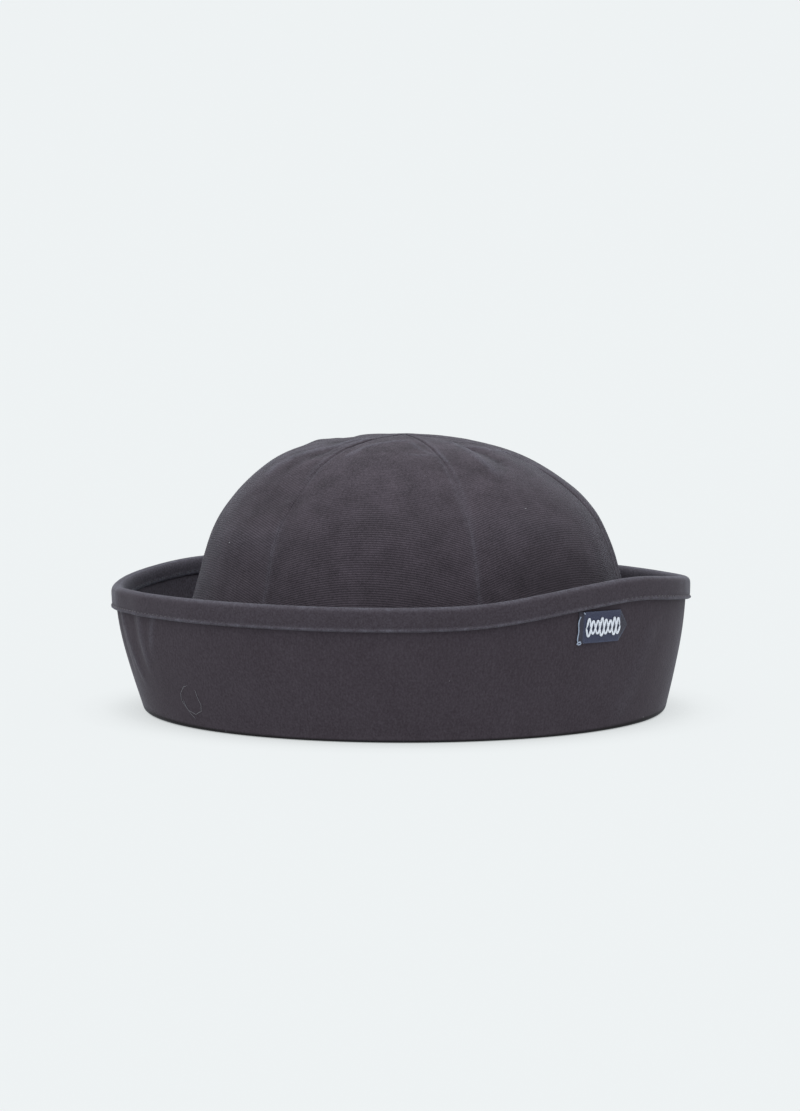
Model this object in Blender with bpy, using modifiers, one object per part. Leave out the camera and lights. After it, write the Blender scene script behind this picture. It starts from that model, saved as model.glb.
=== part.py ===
# A soft cotton sailor cap: six crown gores, a tall turned-up brim, its binding and a woven label.
# Metres, +Z up, front towards -Y. The cap rests on the bottom fold of its brim.
# Azimuths are in degrees from the front, positive towards +X.

import bpy
import bmesh
import math
from collections import namedtuple
from mathutils import Vector

# Head opening and heights
HEAD_ROUND = 0.570          # inside the head opening, all the way round
CAP_HEIGHT = 0.1028         # table to the top of the crown
BRIM_HEIGHT = 0.0495        # table to the rim at the front, binding included

# Cloth
CROWN_WALL = 0.0012         # rib-weave cotton
BRIM_WALL = 0.0020          # the brim's two layers of cotton
BINDING_WALL = 0.0011       # one folded layer of the binding
CLEARANCE = 0.0003          # between one piece and the next

# Crown
GORE_COUNT = 6
SEAM_TURN = 19.5            # azimuth of the first seam, right of the front
GORE_FULLNESS = 0.0012      # how far a gore swells between its seams

# Brim
TROUGH = 0.0043             # open space at the foot, between the crown and the turned-up wall
FOLD_BEND = 0.0003          # radius inside the bottom fold
FOLD_EDGE = 0.0008          # rounding of the fold's inner edge
FRONT_FLARE = 0.0096        # how far the wall leans out from foot to rim
RIGHT_FLARE = 0.0076
BACK_FLARE = 0.0096
LEFT_FLARE = 0.0106
RIPPLE_DEPTH = 0.0008       # the soft upright ripples at the left

# Binding
BINDING_OUTER_LEG = 0.0076
BINDING_INNER_LEG = 0.0054
STITCH_RIDGE_WIDTH = 0.0014
STITCH_RIDGE_RISE = 0.0004

# Label
LABEL_AZIMUTH = 41.9
LABEL_LENGTH = 0.0250
LABEL_HEIGHT = 0.0112
LABEL_POINT = 0.0043        # length of the pointed end
LABEL_DROP = 0.0006         # how far the pointed end hangs lower than the square one
LABEL_THICKNESS = 0.0009

# How finely the cloth is divided and smoothed
SHARP_EDGE = 50.0           # edges that turn more than this many degrees stay sharp
SAME_PLACE = 0.000005       # points closer than this are one point
OUTLINE_NUDGE = 0.002       # share of the crown's outline over which its slope is taken
GORE_COLUMNS = 8
GORE_ROWS = 15
RING_STEPS = 88
WALL_STEPS = 6
LABEL_COLUMNS = 10
LABEL_ROWS = 3

# Crown outline from the foot to the top. Height is a share of the crown's height; radius and lean
# (towards +X) are shares of its foot radius; fullness is a share of GORE_FULLNESS.
CrownRow = namedtuple("CrownRow", "height radius lean fullness")
CROWN_ROWS = [
    CrownRow(height=0.000, radius=1.000, lean=0.000, fullness=0.0),
    CrownRow(height=0.192, radius=0.940, lean=0.009, fullness=0.3),
    CrownRow(height=0.381, radius=0.881, lean=0.018, fullness=0.6),
    CrownRow(height=0.530, radius=0.839, lean=0.021, fullness=0.9),
    CrownRow(height=0.630, radius=0.802, lean=0.018, fullness=1.0),
    CrownRow(height=0.718, radius=0.752, lean=0.016, fullness=1.0),
    CrownRow(height=0.794, radius=0.678, lean=0.009, fullness=1.0),
    CrownRow(height=0.859, radius=0.590, lean=-0.007, fullness=1.0),
    CrownRow(height=0.912, radius=0.500, lean=-0.019, fullness=0.9),
    CrownRow(height=0.952, radius=0.385, lean=-0.037, fullness=0.7),
    CrownRow(height=0.978, radius=0.262, lean=-0.041, fullness=0.5),
    CrownRow(height=0.993, radius=0.130, lean=-0.020, fullness=0.3),
    CrownRow(height=1.000, radius=0.000, lean=0.000, fullness=0.0),
]

# Soft dents (negative) and rises in the crown cloth. Height is a share of the crown's height, across
# and along are shares of its foot radius, rise a share of GORE_FULLNESS.
Dent = namedtuple("Dent", "azimuth height across along rise")
CROWN_DENTS = [
    Dent(azimuth=40.0, height=0.940, across=0.05, along=0.14, rise=0.6),
    Dent(azimuth=50.0, height=0.945, across=0.07, along=0.13, rise=-0.8),
    Dent(azimuth=-51.0, height=0.845, across=0.14, along=0.09, rise=-1.0),
    Dent(azimuth=-60.0, height=0.640, across=0.20, along=0.10, rise=0.5),
    Dent(azimuth=-56.0, height=0.500, across=0.20, along=0.08, rise=-0.8),
    Dent(azimuth=34.0, height=0.560, across=0.22, along=0.08, rise=-0.6),
]

# How the turned-up wall leans out. Height is a share of the wall's height, reach a share of its flare.
WallRow = namedtuple("WallRow", "height reach")
WALL_ROWS = [
    WallRow(height=0.0, reach=0.00),
    WallRow(height=0.2, reach=0.26),
    WallRow(height=0.4, reach=0.53),
    WallRow(height=0.6, reach=0.79),
    WallRow(height=0.8, reach=0.94),
    WallRow(height=1.0, reach=1.00),
]

# Height of the rim around the brim, as shares of BRIM_HEIGHT.
RimRow = namedtuple("RimRow", "azimuth height")
RIM_ROWS = [
    RimRow(azimuth=-180.0, height=0.990),
    RimRow(azimuth=-155.0, height=1.015),
    RimRow(azimuth=-131.0, height=1.028),
    RimRow(azimuth=-110.0, height=0.988),
    RimRow(azimuth=-90.0, height=0.960),
    RimRow(azimuth=-68.0, height=0.988),
    RimRow(azimuth=-37.0, height=1.000),
    RimRow(azimuth=0.0, height=1.000),
    RimRow(azimuth=15.0, height=1.016),
    RimRow(azimuth=36.0, height=1.109),
    RimRow(azimuth=51.0, height=1.139),
    RimRow(azimuth=66.0, height=1.095),
    RimRow(azimuth=90.0, height=1.015),
    RimRow(azimuth=112.0, height=0.975),
    RimRow(azimuth=145.0, height=0.970),
    RimRow(azimuth=180.0, height=0.990),
]

# Upright ripples in the brim wall. Spread is in degrees, foot is the share of the wall's height
# where a ripple starts, depth a share of RIPPLE_DEPTH.
Ripple = namedtuple("Ripple", "azimuth spread foot depth")
BRIM_RIPPLES = [
    Ripple(azimuth=-73.0, spread=3.6, foot=0.20, depth=1.0),
    Ripple(azimuth=-62.0, spread=3.2, foot=0.30, depth=0.8),
]

# Sizes that follow from the ones above
HEAD_RADIUS = HEAD_ROUND / (2 * math.pi)
CROWN_FOOT_RADIUS = HEAD_RADIUS + CROWN_WALL
BRIM_FOOT_RADIUS = CROWN_FOOT_RADIUS + TROUGH + BRIM_WALL
CROWN_FOOT_LEAN = math.atan2((1 - CROWN_ROWS[1].radius) * CROWN_FOOT_RADIUS,
                             CROWN_ROWS[1].height * (CAP_HEIGHT - BRIM_WALL))
CROWN_FOOT_HEIGHT = BRIM_WALL + CLEARANCE + CROWN_WALL * math.sin(CROWN_FOOT_LEAN)
CROWN_HEIGHT = CAP_HEIGHT - CROWN_FOOT_HEIGHT
GORE_ANGLE = 360.0 / GORE_COUNT
FOLD_ROUND = BRIM_WALL + FOLD_BEND
FOLD_EDGE_ROUND = min(FOLD_EDGE, 0.45 * BRIM_WALL)
BINDING_RISE = BINDING_WALL + CLEARANCE


def blend_rows(rows, place):
    # Smooth curve through a table's rows; place runs from 0 at the first row to 1 at the last.
    last = len(rows) - 1
    spot = min(max(place, 0.0), 1.0) * last
    index = min(int(spot), last - 1)
    t = spot - index
    before = rows[max(index - 1, 0)]
    start = rows[index]
    end = rows[index + 1]
    after = rows[min(index + 2, last)]
    values = []
    for a, b, c, d in zip(before, start, end, after):
        bend = (2 * a - 5 * b + 4 * c - d) * t * t + (3 * b - a - 3 * c + d) * t ** 3
        values.append(b + 0.5 * ((c - a) * t + bend))
    return type(start)(*values)


def degrees_between(first, second):
    return (first - second + 180.0) % 360.0 - 180.0


def rim_height(azimuth):
    # Height of the rim, binding included, eased from one row of RIM_ROWS to the next.
    turned = (azimuth + 180.0) % 360.0 - 180.0
    last = len(RIM_ROWS) - 1
    index = 0
    while index < last - 1 and RIM_ROWS[index + 1].azimuth <= turned:
        index += 1
    start = RIM_ROWS[index]
    end = RIM_ROWS[index + 1]
    before = RIM_ROWS[index - 1] if index > 0 else RIM_ROWS[last - 1]
    after = RIM_ROWS[index + 2] if index + 2 <= last else RIM_ROWS[1]
    span = end.azimuth - start.azimuth
    start_reach = span + (start.azimuth - before.azimuth) % 360.0
    end_reach = span + (after.azimuth - end.azimuth) % 360.0
    start_slope = (end.height - before.height) / start_reach
    end_slope = (after.height - start.height) / end_reach
    t = (turned - start.azimuth) / span
    share = (2 * t ** 3 - 3 * t ** 2 + 1) * start.height + (3 * t ** 2 - 2 * t ** 3) * end.height
    share += (t ** 3 - 2 * t ** 2 + t) * start_slope * span + (t ** 3 - t ** 2) * end_slope * span
    return BRIM_HEIGHT * share


def wall_flare(azimuth):
    angle = math.radians(azimuth)
    front_back = FRONT_FLARE if math.cos(angle) > 0 else BACK_FLARE
    right_left = RIGHT_FLARE if math.sin(angle) > 0 else LEFT_FLARE
    return front_back * math.cos(angle) ** 2 + right_left * math.sin(angle) ** 2


def cloth_top(azimuth):
    # Top of the brim cloth, under the binding.
    return rim_height(azimuth) - BINDING_RISE


def wall_radius(azimuth, height):
    # Outer face of the turned-up wall.
    share = height / cloth_top(azimuth)
    radius = BRIM_FOOT_RADIUS + wall_flare(azimuth) * blend_rows(WALL_ROWS, share).reach
    for ripple in BRIM_RIPPLES:
        rise = min(max((share - ripple.foot) / (1 - ripple.foot), 0.0), 1.0)
        away = degrees_between(azimuth, ripple.azimuth) / ripple.spread
        radius += RIPPLE_DEPTH * ripple.depth * rise * math.exp(-away * away)
    return radius


def crown_outline(place):
    # Radius and height of the crown's outline, seams and dents aside.
    row = blend_rows(CROWN_ROWS, place)
    return row.radius * CROWN_FOOT_RADIUS, CROWN_FOOT_HEIGHT + row.height * CROWN_HEIGHT


def crown_dent(azimuth, place):
    row = blend_rows(CROWN_ROWS, place)
    total = 0.0
    for dent in CROWN_DENTS:
        sideways = math.radians(degrees_between(azimuth, dent.azimuth)) * row.radius / dent.across
        upwards = (row.height - dent.height) * CROWN_HEIGHT / (CROWN_FOOT_RADIUS * dent.along)
        total += dent.rise * math.exp(-sideways ** 2 - upwards ** 2)
    return total * GORE_FULLNESS


def crown_point(azimuth, place, across):
    # A point of the crown's outer face; across runs from -1 at one seam to 1 at the next.
    row = blend_rows(CROWN_ROWS, place)
    low_radius, low_height = crown_outline(place - OUTLINE_NUDGE)
    high_radius, high_height = crown_outline(place + OUTLINE_NUDGE)
    normal = Vector((high_height - low_height, low_radius - high_radius)).normalized()
    swell = GORE_FULLNESS * row.fullness * (1 - across * across) + crown_dent(azimuth, place)
    radius, height = crown_outline(place)
    angle = math.radians(azimuth)
    radius += normal.x * swell + CROWN_FOOT_RADIUS * row.lean * math.sin(angle)
    height += normal.y * swell
    return Vector((radius * math.sin(angle), -radius * math.cos(angle), height))


def gore_tip_place():
    # Where the two edges of a gore meet, half a clearance from each seam's plane.
    tip_radius = 0.5 * CLEARANCE / math.sin(math.radians(GORE_ANGLE / 2))
    low, high = 0.5, 1.0
    for _ in range(40):
        middle = 0.5 * (low + high)
        if crown_outline(middle)[0] > tip_radius:
            low = middle
        else:
            high = middle
    return low


def make_material(name, colour, roughness):
    material = bpy.data.materials.new(name)
    material.use_nodes = True
    shader = material.node_tree.nodes["Principled BSDF"]
    shader.inputs["Base Color"].default_value = (*colour, 1.0)
    shader.inputs["Roughness"].default_value = roughness
    shader.inputs["Metallic"].default_value = 0.0
    return material


def add_piece(name, shape, material):
    # Turns a bmesh into a named, smoothly shaded object under the cap's empty.
    mesh = bpy.data.meshes.new(name)
    shape.to_mesh(mesh)
    shape.free()
    mesh.materials.append(material)
    mesh.shade_smooth()
    piece = bpy.data.objects.new(name, mesh)
    cap_collection.objects.link(piece)
    piece.parent = cap_root
    return piece


def add_cloth_wall(piece, thickness, offset):
    wall = piece.modifiers.new("Cloth", "SOLIDIFY")
    wall.thickness = thickness
    wall.offset = offset


def cloth_grid(columns, rows, point_at):
    # A grid of cloth, columns across and rows up, laid out by point_at(across, up).
    shape = bmesh.new()
    bmesh.ops.create_grid(shape, x_segments=columns, y_segments=rows, size=1.0)
    for vertex in shape.verts:
        vertex.co = point_at(vertex.co.x, 0.5 * (vertex.co.y + 1.0))
    bmesh.ops.remove_doubles(shape, verts=shape.verts, dist=SAME_PLACE)
    return shape


def make_gore(number, material):
    centre = SEAM_TURN + GORE_ANGLE * (number - 1.5)
    tip = gore_tip_place()

    def point_at(across, up):
        place = tip * up
        radius = crown_outline(place)[0]
        trim = math.degrees(math.asin(min(0.5 * CLEARANCE / radius, 1.0)))
        reach = max(GORE_ANGLE / 2 - trim, 0.0)
        return crown_point(centre + across * reach, place, across)

    gore = add_piece(f"crown_gore_{number}", cloth_grid(GORE_COLUMNS, GORE_ROWS, point_at), material)
    add_cloth_wall(gore, CROWN_WALL, -1.0)
    gore.data.set_sharp_from_angle(angle=math.radians(SHARP_EDGE))


def arc_points(centre, radius, start, end, steps):
    # Points on an arc in a section, from the start angle to the end angle in degrees.
    points = []
    for step in range(steps + 1):
        angle = math.radians(start + (end - start) * step / steps)
        points.append((centre[0] + radius * math.cos(angle), centre[1] + radius * math.sin(angle)))
    return points


def brim_section(azimuth):
    # Section of the brim: up the outer face, over the raw edge, down inside and along the fold.
    top = cloth_top(azimuth)
    raw_edge = 0.5 * BRIM_WALL
    heights = []
    for step in range(1, WALL_STEPS + 1):
        heights.append(FOLD_ROUND + (top - raw_edge - FOLD_ROUND) * step / WALL_STEPS)
    fold_centre = (wall_radius(azimuth, FOLD_ROUND) - FOLD_ROUND, FOLD_ROUND)
    points = arc_points(fold_centre, FOLD_ROUND, -90, 0, 3)
    points += [(wall_radius(azimuth, height), height) for height in heights]
    points.append((wall_radius(azimuth, top) - raw_edge, top))
    points += [(wall_radius(azimuth, height) - BRIM_WALL, height) for height in reversed(heights)]
    points += arc_points(fold_centre, FOLD_BEND, 0, -90, 2)
    edge = FOLD_EDGE_ROUND
    points += arc_points((HEAD_RADIUS + edge, BRIM_WALL - edge), edge, 90, 180, 2)
    points += arc_points((HEAD_RADIUS + edge, edge), edge, 180, 270, 2)
    return points


def binding_section(azimuth):
    # Section of the binding: a fold over the rim with a stitched ridge along its outer edge.
    top = cloth_top(azimuth)
    mid = wall_radius(azimuth, top) - 0.5 * BRIM_WALL

    def outside(depth, proud):
        return wall_radius(azimuth, top - depth) + CLEARANCE + proud, top - depth

    def inside(depth, proud):
        return wall_radius(azimuth, top - depth) - BRIM_WALL - CLEARANCE - proud, top - depth

    reach = 0.5 * BRIM_WALL + CLEARANCE
    ridge_foot = BINDING_OUTER_LEG - STITCH_RIDGE_WIDTH
    ridge_crest = BINDING_OUTER_LEG - 0.5 * STITCH_RIDGE_WIDTH
    points = [outside(BINDING_OUTER_LEG, 0.0), outside(BINDING_OUTER_LEG, 0.6 * BINDING_WALL)]
    points.append(outside(ridge_crest, BINDING_WALL + STITCH_RIDGE_RISE))
    points.append(outside(ridge_foot, BINDING_WALL))
    points += arc_points((mid, top - reach), reach + BINDING_WALL, 0, 180, 6)
    points.append(inside(BINDING_INNER_LEG, BINDING_WALL))
    points.append(inside(BINDING_INNER_LEG, 0.0))
    points += arc_points((mid, top - reach), reach, 180, 0, 4)
    return points


def ring_from_sections(section_at):
    # Joins the closed sections around the cap into one ring.
    shape = bmesh.new()
    loops = []
    for step in range(RING_STEPS):
        azimuth = 360.0 * step / RING_STEPS
        angle = math.radians(azimuth)
        loop = []
        for radius, height in section_at(azimuth):
            loop.append(shape.verts.new((radius * math.sin(angle), -radius * math.cos(angle), height)))
        loops.append(loop)
    for step, loop in enumerate(loops):
        next_loop = loops[(step + 1) % RING_STEPS]
        for corner in range(len(loop)):
            beyond = (corner + 1) % len(loop)
            shape.faces.new((loop[corner], next_loop[corner], next_loop[beyond], loop[beyond]))
    return shape


def make_brim(material):
    brim = add_piece("brim", ring_from_sections(brim_section), material)
    brim.data.set_sharp_from_angle(angle=math.radians(SHARP_EDGE))


def make_binding(material):
    binding = add_piece("brim_binding", ring_from_sections(binding_section), material)
    binding.data.set_sharp_from_angle(angle=math.radians(SHARP_EDGE))


def make_label(material):
    # A folded ribbon sewn under the binding, square at the left and pointed at the right.
    turn = math.degrees(1 / wall_radius(LABEL_AZIMUTH, cloth_top(LABEL_AZIMUTH) - LABEL_HEIGHT))
    left_end = LABEL_AZIMUTH - 0.5 * LABEL_LENGTH * turn
    middle = cloth_top(left_end) - BINDING_OUTER_LEG - CLEARANCE - 0.5 * LABEL_HEIGHT

    def point_at(across, up):
        along = 0.5 * LABEL_LENGTH * across
        azimuth = LABEL_AZIMUTH + along * turn
        to_end = 0.5 * LABEL_LENGTH - along
        narrowing = min(to_end / LABEL_POINT, 1.0)
        height = middle + LABEL_HEIGHT * (up - 0.5) * narrowing - 0.5 * LABEL_DROP * (across + 1)
        radius = wall_radius(azimuth, height) + CLEARANCE
        angle = math.radians(azimuth)
        return Vector((radius * math.sin(angle), -radius * math.cos(angle), height))

    label = add_piece("label", cloth_grid(LABEL_COLUMNS, LABEL_ROWS, point_at), material)
    add_cloth_wall(label, LABEL_THICKNESS, 1.0)
    label.data.set_sharp_from_angle(angle=math.radians(SHARP_EDGE))


for old_object in list(bpy.data.objects):
    bpy.data.objects.remove(old_object)

cap_collection = bpy.data.collections.new("sailor_cap")
bpy.context.scene.collection.children.link(cap_collection)

# The foot stands off centre by half the difference of the side flares, so the rim is centred.
cap_root = bpy.data.objects.new("cap_root", None)
cap_root.location.x = 0.5 * (LEFT_FLARE - RIGHT_FLARE)
cap_collection.objects.link(cap_root)

crown_cotton = make_material("crown_cotton", (0.064, 0.056, 0.070), 0.90)
brim_cotton = make_material("brim_cotton", (0.048, 0.043, 0.052), 0.92)
binding_cotton = make_material("binding_cotton", (0.050, 0.044, 0.053), 0.90)
label_weave = make_material("label_weave", (0.055, 0.065, 0.110), 0.75)

for gore_number in range(1, GORE_COUNT + 1):
    make_gore(gore_number, crown_cotton)
make_brim(brim_cotton)
make_binding(binding_cotton)
make_label(label_weave)
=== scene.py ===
import math

import bpy
import numpy as np
from mathutils import Matrix, Vector, noise


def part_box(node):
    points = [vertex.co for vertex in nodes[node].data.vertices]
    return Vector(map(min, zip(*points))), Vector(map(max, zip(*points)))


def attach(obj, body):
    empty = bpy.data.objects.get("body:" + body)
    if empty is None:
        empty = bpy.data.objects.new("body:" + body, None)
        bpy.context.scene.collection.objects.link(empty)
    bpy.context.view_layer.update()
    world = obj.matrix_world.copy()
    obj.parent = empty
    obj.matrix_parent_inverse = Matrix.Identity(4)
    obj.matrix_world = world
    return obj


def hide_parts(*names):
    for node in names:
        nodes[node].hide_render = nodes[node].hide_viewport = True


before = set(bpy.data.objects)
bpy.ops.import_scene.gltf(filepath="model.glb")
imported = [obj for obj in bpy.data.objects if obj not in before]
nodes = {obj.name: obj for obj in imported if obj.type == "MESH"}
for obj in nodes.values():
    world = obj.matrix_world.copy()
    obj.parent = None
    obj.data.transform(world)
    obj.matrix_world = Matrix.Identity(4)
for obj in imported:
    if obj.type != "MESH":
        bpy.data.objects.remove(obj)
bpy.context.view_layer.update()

scene = bpy.context.scene
mm = 0.001
sameSpot = 0.000005      # points closer than this are one point
clearOfCap = 0.2         # further out than any part of the cap
clothUnit = 0.1          # metres of cloth to one unit of a UV map

# The crown's foot is a circle round the cap's middle, and its gores meet above that.
goreNodes = [name for name in nodes if name.startswith("crown_gore")]
capMiddle = Vector((0.5 * (min(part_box(name)[0].x for name in goreNodes)
                           + max(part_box(name)[1].x for name in goreNodes)), 0.0, 0.0))
nearTop = [v.co for name in goreNodes for v in nodes[name].data.vertices
           if (v.co - capMiddle).xy.length < 1 * mm]
crownTop = max(nearTop, key=lambda co: co.z).z


# Small tools

def editMode():
    bpy.ops.object.mode_set(mode="EDIT")


def objectMode():
    bpy.ops.object.mode_set(mode="OBJECT")


def selectAll(action="SELECT"):
    bpy.ops.mesh.select_all(action=action)


def pick(piece):
    if bpy.context.object and bpy.context.object.mode != "OBJECT":
        objectMode()
    bpy.ops.object.select_all(action="DESELECT")
    piece.select_set(True)
    bpy.context.view_layer.objects.active = piece


def applyModifier(piece, kind, **settings):
    modifier = piece.modifiers.new(kind.title(), kind)
    for name, value in settings.items():
        setattr(modifier, name, value)
    pick(piece)
    bpy.ops.object.modifier_apply(modifier=modifier.name)


def subdivide(piece, levels, **settings):
    applyModifier(piece, "SUBSURF", levels=levels, render_levels=levels, **settings)


def newGrid(name, columns, rows):
    bpy.ops.object.select_all(action="DESELECT")
    bpy.ops.mesh.primitive_grid_add(x_subdivisions=columns, y_subdivisions=rows, size=2)
    bpy.context.object.name = name
    return bpy.context.object


def mergePoints(piece, turnOut=False):
    pick(piece)
    editMode()
    selectAll()
    bpy.ops.mesh.remove_doubles(threshold=sameSpot)
    if turnOut:
        bpy.ops.mesh.normals_make_consistent(inside=False)
    objectMode()


def copyOfNode(node, name):
    # A node's triangles are loose, so its copy is merged and the triangles are paired up.
    piece = bpy.data.objects.new(name, nodes[node].data.copy())
    scene.collection.objects.link(piece)
    piece.data.materials.clear()
    pick(piece)
    bpy.ops.mesh.customdata_custom_splitnormals_clear()
    editMode()
    selectAll()
    bpy.ops.mesh.remove_doubles(threshold=sameSpot)
    bpy.ops.mesh.tris_convert_to_quads(face_threshold=math.radians(60), shape_threshold=math.radians(60))
    objectMode()
    return piece


def deleteFaces(piece, unwanted):
    pick(piece)
    editMode()
    bpy.ops.mesh.select_mode(type="FACE")
    selectAll("DESELECT")
    objectMode()
    for face in piece.data.polygons:
        face.select = unwanted(face)
    editMode()
    bpy.ops.mesh.delete(type="FACE")
    objectMode()


def meshPoints(piece):
    points = np.empty(len(piece.data.vertices) * 3)
    piece.data.vertices.foreach_get("co", points)
    return points.reshape(-1, 3)


def movePoints(piece, points):
    piece.data.vertices.foreach_set("co", points.ravel())
    piece.data.update()


def paintPoints(piece, name, values):
    attribute = piece.data.attributes.new(name, "FLOAT", "POINT")
    attribute.data.foreach_set("value", values.astype(np.float32).ravel())


def layCloth(piece, flat):
    # Gives a sheet its UV map, from each point's place on the flat cloth in metres.
    cloth = piece.data.uv_layers.active or piece.data.uv_layers.new(name="cloth")
    cloth.name = "cloth"
    corners = np.empty(len(piece.data.loops), dtype=np.int32)
    piece.data.loops.foreach_get("vertex_index", corners)
    cloth.data.foreach_set("uv", (flat / clothUnit)[corners].ravel())


def faceOutward(piece):
    middleFace = piece.data.polygons[len(piece.data.polygons) // 2]
    if middleFace.normal.dot(middleFace.center - capMiddle) < 0:
        piece.data.flip_normals()


def bell(distance, width):
    return np.exp(-(distance / width) ** 2)


def ramp(values, start, end):
    return np.clip((values - start) / (end - start), 0.0, 1.0)


def blend(ends, share):
    return ends[0] + (ends[1] - ends[0]) * share


def azimuthOf(points):
    return np.degrees(np.arctan2(points[:, 0] - capMiddle.x, -points[:, 1]))


def radiusOf(points):
    return np.hypot(points[:, 0] - capMiddle.x, points[:, 1])


def alongRadius(points, radius, push, lift):
    # A move away from the cap's axis and up, for each point.
    return np.stack([push * (points[:, 0] - capMiddle.x) / radius, push * points[:, 1] / radius,
                     lift + np.zeros(len(points))], axis=1)


def facing(piece, points, radius):
    # Each point's normal, and how much of it points away from the cap's axis.
    normals = np.empty(len(points) * 3)
    piece.data.vertices.foreach_get("normal", normals)
    normals = normals.reshape(-1, 3)
    return normals, (normals[:, 0] * (points[:, 0] - capMiddle.x) + normals[:, 1] * points[:, 1]) / radius


def finishPiece(piece, replaced, material, sharp=35):
    piece.data.materials.clear()
    piece.data.materials.append(material)
    pick(piece)
    bpy.ops.object.shade_smooth_by_angle(angle=math.radians(sharp))
    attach(piece, "root")
    if replaced:
        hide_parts(replaced)


def outward(azimuth):
    # Level direction from the cap's middle; azimuth 0 is the front, 90 the side with the label.
    angle = math.radians(azimuth)
    return Vector((math.sin(angle), -math.cos(angle), 0.0))


def onSurface(piece, azimuth, height, inside=False):
    # Where a level ray meets the piece at that azimuth and height, from outside or from the middle.
    way = outward(azimuth)
    start = capMiddle + Vector((0, 0, height)) + way * (0.0 if inside else clearOfCap)
    found, spot, normal, _ = piece.ray_cast(start, way if inside else -way)
    if not found:
        raise ValueError(f"no surface of {piece.name} at azimuth {azimuth:.1f}, height {height:.4f}")
    return spot, normal


# Materials

def newMaterial(name, finish):
    material = bpy.data.materials.new(name)
    material.use_nodes = True
    shader = material.node_tree.nodes["Principled BSDF"]
    shader.inputs["Roughness"].default_value = finish["roughness"]
    shader.inputs["Specular IOR Level"].default_value = 0.25
    shader.inputs["Sheen Weight"].default_value = finish["sheen"]
    shader.inputs["Sheen Roughness"].default_value = finish["sheenRoughness"]
    shader.inputs["Sheen Tint"].default_value = (*finish["sheenTint"], 1.0)
    return material, material.node_tree, shader


def addNode(tree, kind, values=(), **settings):
    node = tree.nodes.new(kind)
    for name, value in settings.items():
        setattr(node, name, value)
    for socket, value in values:
        if hasattr(value, "links"):
            tree.links.new(value, node.inputs[socket])
        else:
            node.inputs[socket].default_value = value
    return node


def calculate(tree, operation, first, second=0.0):
    node = addNode(tree, "ShaderNodeMath", [(0, first), (1, second)], operation=operation)
    return node.outputs[0]


def times(tree, first, second):
    return calculate(tree, "MULTIPLY", first, second)


def plus(tree, first, second):
    return calculate(tree, "ADD", first, second)


def mixColours(tree, share, first, second, blend="MIX"):
    node = addNode(tree, "ShaderNodeMix", data_type="RGBA", blend_type=blend)
    for socket, value in (("Factor", share), ("A", first), ("B", second)):
        spot = [s for s in node.inputs if s.name == socket and s.enabled][0]
        if hasattr(value, "links"):
            tree.links.new(value, spot)
        else:
            spot.default_value = value
    return [s for s in node.outputs if s.enabled][0]


def clothNoise(tree, scale, detail=3.0, rough=0.55):
    # Noise on Object coordinates; scale is in cells a metre along x, y and z.
    place = addNode(tree, "ShaderNodeTexCoord")
    stretch = addNode(tree, "ShaderNodeMapping", [("Vector", place.outputs["Object"]), ("Scale", scale)])
    speckle = addNode(tree, "ShaderNodeTexNoise", [("Vector", stretch.outputs[0]), ("Scale", 1.0),
                                                   ("Detail", detail), ("Roughness", rough)])
    return speckle.outputs["Fac"]


def remap(tree, value, low, high, newLow, newHigh):
    node = addNode(tree, "ShaderNodeMapRange", [("Value", value), ("From Min", low), ("From Max", high),
                                                ("To Min", newLow), ("To Max", newHigh)])
    return node.outputs[0]


def shadeBy(tree, colour, shade):
    grey = addNode(tree, "ShaderNodeCombineColor", [(0, shade), (1, shade), (2, shade)])
    return mixColours(tree, 1.0, colour, grey.outputs[0], "MULTIPLY")


def roughen(tree, shader, height, distance, strength):
    bump = addNode(tree, "ShaderNodeBump", [("Height", height), ("Distance", distance),
                                            ("Strength", strength)])
    tree.links.new(bump.outputs[0], shader.inputs["Normal"])


def painted(tree, name):
    return addNode(tree, "ShaderNodeAttribute", attribute_name=name).outputs["Fac"]


def clothAxes(tree):
    # The UV map's two axes, across and along the cloth.
    cloth = addNode(tree, "ShaderNodeUVMap", uv_map="cloth")
    return addNode(tree, "ShaderNodeSeparateXYZ", [("Vector", cloth.outputs[0])]).outputs


def lintSpecks(tree, spacing, radius, share):
    # Sparse pale specks: one in some of the cells of a Voronoi pattern.
    place = addNode(tree, "ShaderNodeTexCoord")
    cells = addNode(tree, "ShaderNodeTexVoronoi", [("Vector", place.outputs["Object"]),
                                                   ("Scale", 1.0 / spacing), ("Randomness", 1.0)])
    near = calculate(tree, "LESS_THAN", cells.outputs["Distance"], radius / spacing)
    pickSome = addNode(tree, "ShaderNodeSeparateColor", [("Color", cells.outputs["Color"])])
    chosen = calculate(tree, "LESS_THAN", pickSome.outputs[0], share)
    return times(tree, near, chosen)


crownFinish = {
    "colour": (0.062, 0.0510, 0.0640, 1.0),
    # painted shade in the rib valleys, and in creases and hollows
    "ribAndCreaseShadeColour": (0.016, 0.0130, 0.017, 1.0),
    # wear, and painted highlights along crests
    "wearAndHighlightColour": (0.200, 0.205, 0.255, 1.0),
    "lintColour": (0.42, 0.42, 0.45, 1.0),
    "lint": (9 * mm, 0.24 * mm, 0.16),  # spacing, radius and share of the specks
    "roughness": 0.92,
    "sheen": 0.26,
    "sheenTint": (0.80, 0.87, 1.0),
    "sheenRoughness": 0.20,
    "smoothAbove": (76 * mm, 98 * mm),  # heights between which the ribs fade into brushed cloth
    "threadPitch": 0.62 * mm,      # between the threads that cross a rib
    "threadBump": 0.10 * mm,
    "fuzzScale": (1300, 1300, 1300),    # cells a metre
    "patchScale": (110, 110, 110),
    "mottle": 0.30,                # how uneven the dye is
}


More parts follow.
